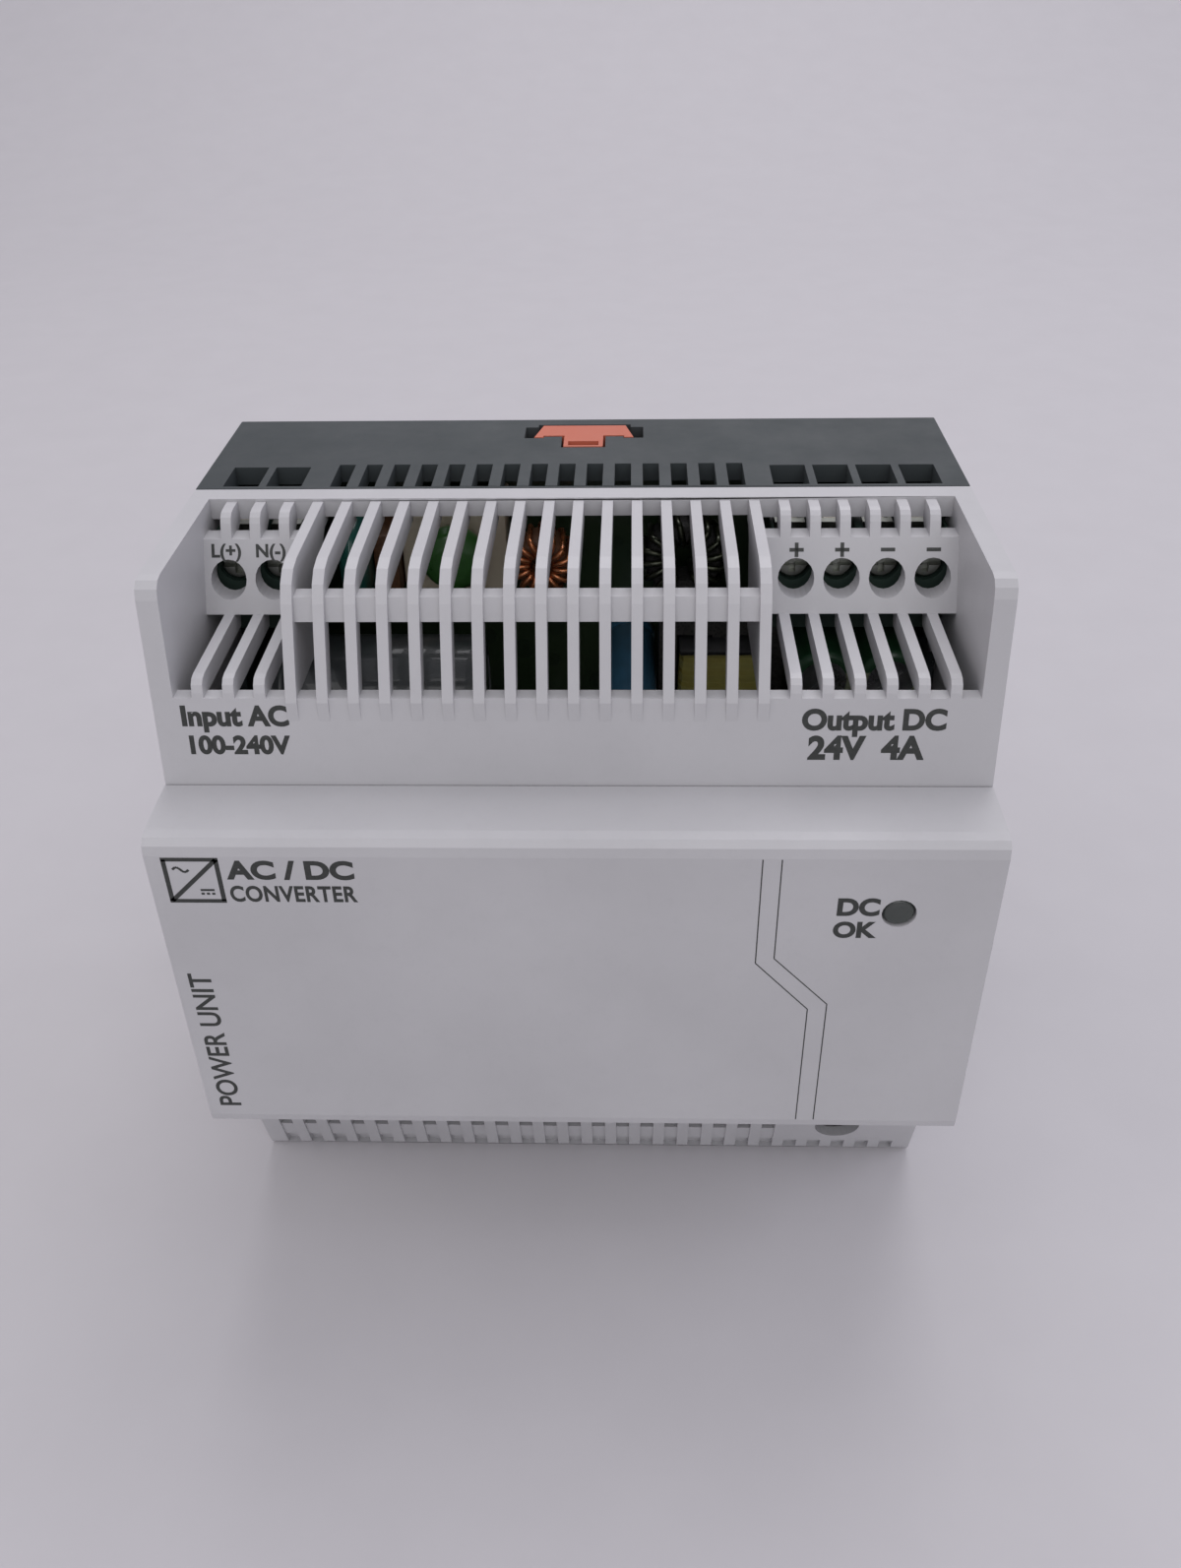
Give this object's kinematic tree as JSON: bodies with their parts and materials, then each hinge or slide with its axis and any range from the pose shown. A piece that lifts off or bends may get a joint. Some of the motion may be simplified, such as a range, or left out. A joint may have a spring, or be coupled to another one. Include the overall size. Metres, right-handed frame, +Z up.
{
  "type": "din rail power supply",
  "caption": "Slim rail-mounted AC/DC power supply: ribbed light grey front housing with screw terminals, dark rear housing, orange snap feet and populated board.",
  "frame": {"origin": "middle of the base of the bounding box", "axes": "+X right seen from the front, the front cap faces -Y, +Z up"},
  "size_m": [0.09, 0.061, 0.09],
  "materials": {
    "housing_light": "fine moulded texture, light grey",
    "housing_dark": "fine moulded texture, dark grey",
    "foot_orange": "smooth moulded, orange",
    "light_guide": "clear moulded light pipe, unlit",
    "led_green": "clear green resin",
    "laminate": "solder-masked glass-epoxy laminate",
    "insulation_film": "film",
    "terminal_plastic": "moulded",
    "nickel": "nickel-plated steel",
    "tinned_copper": "tinned",
    "lacquer_teal": "dipped lacquer",
    "lacquer_green": "dipped lacquer",
    "lacquer_blue": "dipped lacquer",
    "epoxy_brown": "cast epoxy",
    "epoxy_black": "cast epoxy",
    "box_beige": "moulded box",
    "ferrite": "sintered",
    "enamelled_copper": "enamelled wire",
    "enamelled_green": "enamelled wire",
    "sleeve_grey": "shrink sleeve",
    "sleeve_blue": "shrink sleeve",
    "sleeve_green": "shrink sleeve",
    "ceramic": "ceramic",
    "tape_yellow": "polyester tape",
    "aluminium": "mill finish"
  },
  "bodies": {
    "housing": {"rear_housing": "housing_dark", "front_housing": "housing_light", "front_cap": "housing_light", "light_guide": "light_guide", "status_led": "led_green", "circuit_board": "laminate", "insulating_sheet": "insulation_film", "input_terminal_block": "terminal_plastic", "output_terminal_block": "terminal_plastic", "varistor": "lacquer_teal", "film_capacitor": "epoxy_brown", "suppression_capacitor": "box_beige", "inrush_limiter": "lacquer_green", "filter_choke_core": "ferrite", "filter_choke_winding": "enamelled_copper", "output_choke_core": "ferrite", "output_choke_winding": "enamelled_green", "bulk_capacitor": "sleeve_grey", "input_fuse": "ceramic", "bridge_rectifier": "epoxy_black", "auxiliary_capacitor": "sleeve_blue", "transformer_core": "ferrite", "transformer_winding": "tape_yellow", "output_capacitor_1": "sleeve_green", "output_capacitor_2": "sleeve_green", "output_capacitor_3": "sleeve_green", "line_choke_core": "ferrite", "line_choke_winding": "enamelled_copper", "primary_heatsink": "aluminium", "primary_transistor": "epoxy_black", "secondary_heatsink": "aluminium", "output_rectifier": "epoxy_black", "safety_capacitor": "lacquer_blue", "optocoupler": "epoxy_black", "control_ic": "epoxy_black", "trim_potentiometer_body": "lacquer_blue", "contact_bar_1": "tinned_copper", "contact_bar_2": "tinned_copper", "contact_bar_3": "tinned_copper", "contact_bar_4": "tinned_copper", "contact_bar_5": "tinned_copper", "contact_bar_6": "tinned_copper"},
    "terminal_screw_1": {"terminal_screw_1": "nickel"},
    "terminal_cage_1": {"terminal_cage_1": "nickel"},
    "terminal_screw_2": {"terminal_screw_2": "nickel"},
    "terminal_cage_2": {"terminal_cage_2": "nickel"},
    "terminal_screw_3": {"terminal_screw_3": "nickel"},
    "terminal_cage_3": {"terminal_cage_3": "nickel"},
    "terminal_screw_4": {"terminal_screw_4": "nickel"},
    "terminal_cage_4": {"terminal_cage_4": "nickel"},
    "terminal_screw_5": {"terminal_screw_5": "nickel"},
    "terminal_cage_5": {"terminal_cage_5": "nickel"},
    "terminal_screw_6": {"terminal_screw_6": "nickel"},
    "terminal_cage_6": {"terminal_cage_6": "nickel"},
    "upper_snap_foot": {"upper_snap_foot": "foot_orange"},
    "lower_snap_foot": {"lower_snap_foot": "foot_orange"},
    "trim_rotor": {"trim_potentiometer_rotor": "ceramic"}
  },
  "joints": [
    {"name": "cage_1_slide", "type": "slide", "parent": "housing", "child": "terminal_cage_1", "axis": [0, -1, 0], "range_m": [0, 0.0025]},
    {"name": "screw_1_turn", "type": "hinge", "parent": "housing", "child": "terminal_screw_1", "pos_m": [-0.0399, 0.0019, 0.083], "axis": [0, 1, 0], "range_deg": [0, 1800]},
    {"name": "cage_2_slide", "type": "slide", "parent": "housing", "child": "terminal_cage_2", "axis": [0, -1, 0], "range_m": [0, 0.0025]},
    {"name": "screw_2_turn", "type": "hinge", "parent": "housing", "child": "terminal_screw_2", "pos_m": [-0.0348, 0.0019, 0.083], "axis": [0, 1, 0], "range_deg": [0, 1800]},
    {"name": "cage_3_slide", "type": "slide", "parent": "housing", "child": "terminal_cage_3", "axis": [0, -1, 0], "range_m": [0, 0.0025]},
    {"name": "screw_3_turn", "type": "hinge", "parent": "housing", "child": "terminal_screw_3", "pos_m": [0.0246, 0.0019, 0.083], "axis": [0, 1, 0], "range_deg": [0, 1800]},
    {"name": "cage_4_slide", "type": "slide", "parent": "housing", "child": "terminal_cage_4", "axis": [0, -1, 0], "range_m": [0, 0.0025]},
    {"name": "screw_4_turn", "type": "hinge", "parent": "housing", "child": "terminal_screw_4", "pos_m": [0.0297, 0.0019, 0.083], "axis": [0, 1, 0], "range_deg": [0, 1800]},
    {"name": "cage_5_slide", "type": "slide", "parent": "housing", "child": "terminal_cage_5", "axis": [0, -1, 0], "range_m": [0, 0.0025]},
    {"name": "screw_5_turn", "type": "hinge", "parent": "housing", "child": "terminal_screw_5", "pos_m": [0.0348, 0.0019, 0.083], "axis": [0, 1, 0], "range_deg": [0, 1800]},
    {"name": "cage_6_slide", "type": "slide", "parent": "housing", "child": "terminal_cage_6", "axis": [0, -1, 0], "range_m": [0, 0.0025]},
    {"name": "screw_6_turn", "type": "hinge", "parent": "housing", "child": "terminal_screw_6", "pos_m": [0.0399, 0.0019, 0.083], "axis": [0, 1, 0], "range_deg": [0, 1800]},
    {"name": "upper_foot_slide", "type": "slide", "parent": "housing", "child": "upper_snap_foot", "axis": [0, 0, 1], "range_m": [0, 0.004], "stiffness_N_per_m": 1500, "springref_m": -0.002},
    {"name": "lower_foot_slide", "type": "slide", "parent": "housing", "child": "lower_snap_foot", "axis": [0, 0, -1], "range_m": [0, 0.004], "stiffness_N_per_m": 1500, "springref_m": -0.002},
    {"name": "trim_turn", "type": "hinge", "parent": "housing", "child": "trim_rotor", "pos_m": [0.0343, 0.013, 0.0072], "axis": [0, 1, 0], "range_deg": [-135, 135]}
  ],
  "couplings": [
    {"joint": "screw_1_turn", "follows": "cage_1_slide", "rad_per_m": 12566},
    {"joint": "screw_2_turn", "follows": "cage_2_slide", "rad_per_m": 12566},
    {"joint": "screw_3_turn", "follows": "cage_3_slide", "rad_per_m": 12566},
    {"joint": "screw_4_turn", "follows": "cage_4_slide", "rad_per_m": 12566},
    {"joint": "screw_5_turn", "follows": "cage_5_slide", "rad_per_m": 12566},
    {"joint": "screw_6_turn", "follows": "cage_6_slide", "rad_per_m": 12566}
  ]
}
